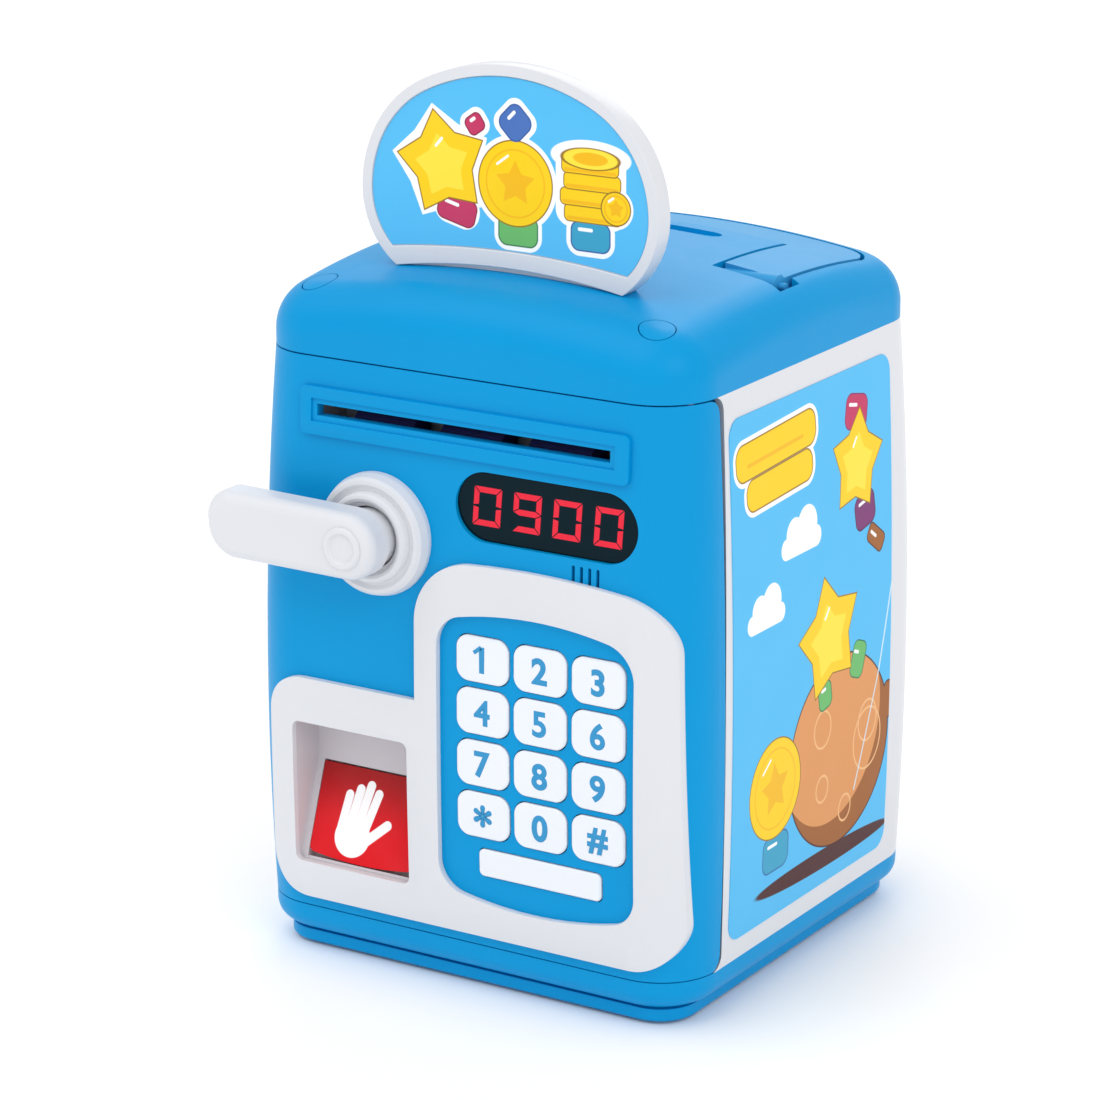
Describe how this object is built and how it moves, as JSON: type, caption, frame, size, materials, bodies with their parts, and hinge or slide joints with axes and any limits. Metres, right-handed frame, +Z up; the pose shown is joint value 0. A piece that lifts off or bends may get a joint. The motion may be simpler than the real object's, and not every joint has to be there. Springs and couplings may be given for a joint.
{
  "type": "savings bank",
  "caption": "Toy cash-machine savings bank with a swinging keypad door, lever lock, banknote slot, coin slot, hand-scan pad and folding carry handle.",
  "frame": {"origin": "on the table, under the centre of the housing", "axes": "+X right as seen from the front, the door faces -Y, +Z up"},
  "size_m": [0.1334, 0.1459, 0.236],
  "materials": {
    "blue_body": "satin injection-moulded",
    "white_body": "satin injection-moulded",
    "keycap": "satin with printed symbols",
    "sticker": "printed, gloss laminated",
    "scan_red": "printed and glossy",
    "display_lens": "smoked and polished",
    "dark_plastic": "moulded",
    "foot_rubber": "moulded",
    "steel": "zinc plated",
    "board": "solder-masked",
    "battery": "wrapped cell",
    "lock_plastic": "moulded"
  },
  "bodies": {
    "housing": {"base_tray": "blue_body", "base_plinth": "blue_body", "rubber_feet": "foot_rubber", "battery_box": "blue_body", "aa_cells": "battery", "battery_cover": "blue_body", "money_floor": "white_body", "front_frame": "blue_body", "side_panel_right": "white_body", "side_panel_left": "white_body", "back_panel": "white_body", "housing_screws": "steel", "switch_body": "dark_plastic", "top_cover": "blue_body", "screw_plugs": "blue_body", "coin_chute": "blue_body", "marquee_frame": "white_body", "marquee_label": "sticker", "side_label_left": "sticker", "side_label_right": "sticker"},
    "door": {"door_shell": "blue_body", "hinge_pins": "steel", "door_back": "white_body", "door_screws": "steel", "slot_bezel": "blue_body", "display_window": "display_lens", "display_module": "dark_plastic", "speaker": "dark_plastic", "bezel": "white_body", "scan_pocket": "white_body", "keypad_mat": "foot_rubber", "keypad_board": "board", "rosette": "white_body", "feed_motor": "steel"},
    "lever": {"lever_arm": "white_body", "lever_cap": "white_body", "lever_shaft": "steel"},
    "latch_bolt": {"latch_bolt": "lock_plastic"},
    "scan_pad": {"scan_pad": "scan_red"},
    "carry_handle": {"carry_handle": "blue_body"},
    "feed_roller": {"feed_roller": "foot_rubber"},
    "motor_pinion": {"motor_pinion": "lock_plastic"},
    "idler_roller": {"idler_roller": "foot_rubber"},
    "switch_knob": {"switch_knob": "dark_plastic"},
    "key_1": {"key_1": "keycap"},
    "key_2": {"key_2": "keycap"},
    "key_3": {"key_3": "keycap"},
    "key_4": {"key_4": "keycap"},
    "key_5": {"key_5": "keycap"},
    "key_6": {"key_6": "keycap"},
    "key_7": {"key_7": "keycap"},
    "key_8": {"key_8": "keycap"},
    "key_9": {"key_9": "keycap"},
    "key_star": {"key_star": "keycap"},
    "key_0": {"key_0": "keycap"},
    "key_hash": {"key_hash": "keycap"},
    "key_bar": {"key_bar": "keycap"}
  },
  "joints": [
    {"name": "door_hinge", "type": "hinge", "parent": "housing", "child": "door", "pos_m": [0.0595, -0.053, 0.087], "axis": [0, 0, 1], "range_deg": [0, 95]},
    {"name": "lever_turn", "type": "hinge", "parent": "door", "child": "lever", "pos_m": [-0.024, -0.064, 0.1184], "axis": [0, -1, 0], "range_deg": [0, 70]},
    {"name": "latch_slide", "type": "slide", "parent": "door", "child": "latch_bolt", "axis": [-1, 0, 0], "range_m": [0, 0.0049]},
    {"name": "handle_swing", "type": "hinge", "parent": "housing", "child": "carry_handle", "pos_m": [0, -0.0005, 0.1792], "axis": [1, 0, 0], "range_deg": [0, 98]},
    {"name": "feed_spin", "type": "hinge", "parent": "door", "child": "feed_roller", "pos_m": [0, -0.0545, 0.1433], "axis": [1, 0, 0], "continuous": true},
    {"name": "motor_spin", "type": "hinge", "parent": "door", "child": "motor_pinion", "pos_m": [-0.0445, -0.0545, 0.1347], "axis": [1, 0, 0], "continuous": true},
    {"name": "idler_spin", "type": "hinge", "parent": "door", "child": "idler_roller", "pos_m": [0, -0.0545, 0.1513], "axis": [1, 0, 0], "continuous": true},
    {"name": "power_slide", "type": "slide", "parent": "housing", "child": "switch_knob", "axis": [1, 0, 0], "range_m": [0, 0.0048]},
    {"name": "scan_press", "type": "slide", "parent": "door", "child": "scan_pad", "axis": [0, 0.9423, -0.3348], "range_m": [0, 0.001], "stiffness_N_per_m": 400, "springref_m": -0.0005},
    {"name": "key_1_press", "type": "slide", "parent": "door", "child": "key_1", "axis": [0, 1, 0], "range_m": [0, 0.0009], "stiffness_N_per_m": 400, "springref_m": -0.0003},
    {"name": "key_2_press", "type": "slide", "parent": "door", "child": "key_2", "axis": [0, 1, 0], "range_m": [0, 0.0009], "stiffness_N_per_m": 400, "springref_m": -0.0003},
    {"name": "key_3_press", "type": "slide", "parent": "door", "child": "key_3", "axis": [0, 1, 0], "range_m": [0, 0.0009], "stiffness_N_per_m": 400, "springref_m": -0.0003},
    {"name": "key_4_press", "type": "slide", "parent": "door", "child": "key_4", "axis": [0, 1, 0], "range_m": [0, 0.0009], "stiffness_N_per_m": 400, "springref_m": -0.0003},
    {"name": "key_5_press", "type": "slide", "parent": "door", "child": "key_5", "axis": [0, 1, 0], "range_m": [0, 0.0009], "stiffness_N_per_m": 400, "springref_m": -0.0003},
    {"name": "key_6_press", "type": "slide", "parent": "door", "child": "key_6", "axis": [0, 1, 0], "range_m": [0, 0.0009], "stiffness_N_per_m": 400, "springref_m": -0.0003},
    {"name": "key_7_press", "type": "slide", "parent": "door", "child": "key_7", "axis": [0, 1, 0], "range_m": [0, 0.0009], "stiffness_N_per_m": 400, "springref_m": -0.0003},
    {"name": "key_8_press", "type": "slide", "parent": "door", "child": "key_8", "axis": [0, 1, 0], "range_m": [0, 0.0009], "stiffness_N_per_m": 400, "springref_m": -0.0003},
    {"name": "key_9_press", "type": "slide", "parent": "door", "child": "key_9", "axis": [0, 1, 0], "range_m": [0, 0.0009], "stiffness_N_per_m": 400, "springref_m": -0.0003},
    {"name": "key_star_press", "type": "slide", "parent": "door", "child": "key_star", "axis": [0, 1, 0], "range_m": [0, 0.0009], "stiffness_N_per_m": 400, "springref_m": -0.0003},
    {"name": "key_0_press", "type": "slide", "parent": "door", "child": "key_0", "axis": [0, 1, 0], "range_m": [0, 0.0009], "stiffness_N_per_m": 400, "springref_m": -0.0003},
    {"name": "key_hash_press", "type": "slide", "parent": "door", "child": "key_hash", "axis": [0, 1, 0], "range_m": [0, 0.0009], "stiffness_N_per_m": 400, "springref_m": -0.0003},
    {"name": "key_bar_press", "type": "slide", "parent": "door", "child": "key_bar", "axis": [0, 1, 0], "range_m": [0, 0.0009], "stiffness_N_per_m": 400, "springref_m": -0.0003}
  ],
  "couplings": [
    {"joint": "latch_slide", "follows": "lever_turn", "m_per_rad": 0.004},
    {"joint": "motor_spin", "follows": "feed_spin", "ratio": -2.5},
    {"joint": "idler_spin", "follows": "feed_spin", "ratio": -1.4}
  ]
}
